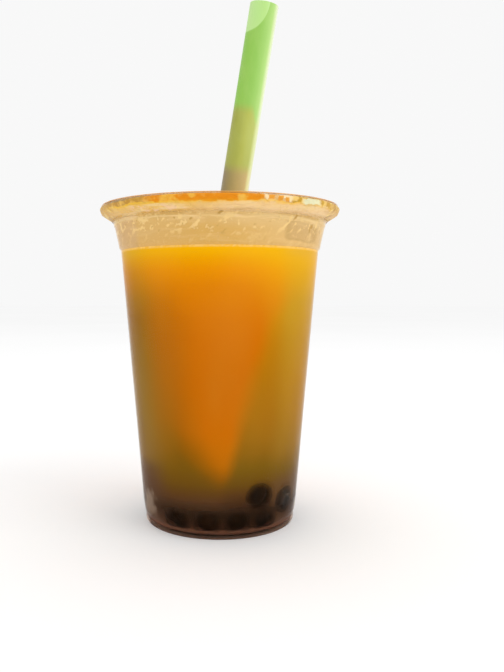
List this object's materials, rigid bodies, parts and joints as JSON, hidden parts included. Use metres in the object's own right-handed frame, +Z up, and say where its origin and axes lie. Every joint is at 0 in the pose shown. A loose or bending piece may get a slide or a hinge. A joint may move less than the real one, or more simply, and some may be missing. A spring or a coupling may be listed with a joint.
{
  "type": "bubble tea",
  "caption": "Clear tapered plastic cup of orange bubble tea, sealed with film across a wide rim, with a fat green straw pushed through the film.",
  "frame": {"origin": "centre of the cup's foot, on the surface that it stands on", "axes": "+Z up along the cup's axis, +Y away from the side that the picture shows, +X to that side's right; the straw leans towards +X and -Y"},
  "size_m": [0.095, 0.095, 0.2028],
  "materials": {
    "clear_plastic": "clear moulded polypropylene, glossy, misted above the drink",
    "film_plastic": "clear heat-sealed lidding film, glossy, slightly puckered",
    "drink": "cloudy orange tea, golden at the top, olive to brown towards the sides and the bottom",
    "green_plastic": "translucent green plastic, satin"
  },
  "bodies": {
    "root": {"cup": "clear_plastic", "seal_film": "film_plastic", "drink": "drink", "drink_in_straw": "drink", "straw": "green_plastic"}
  },
  "joints": []
}
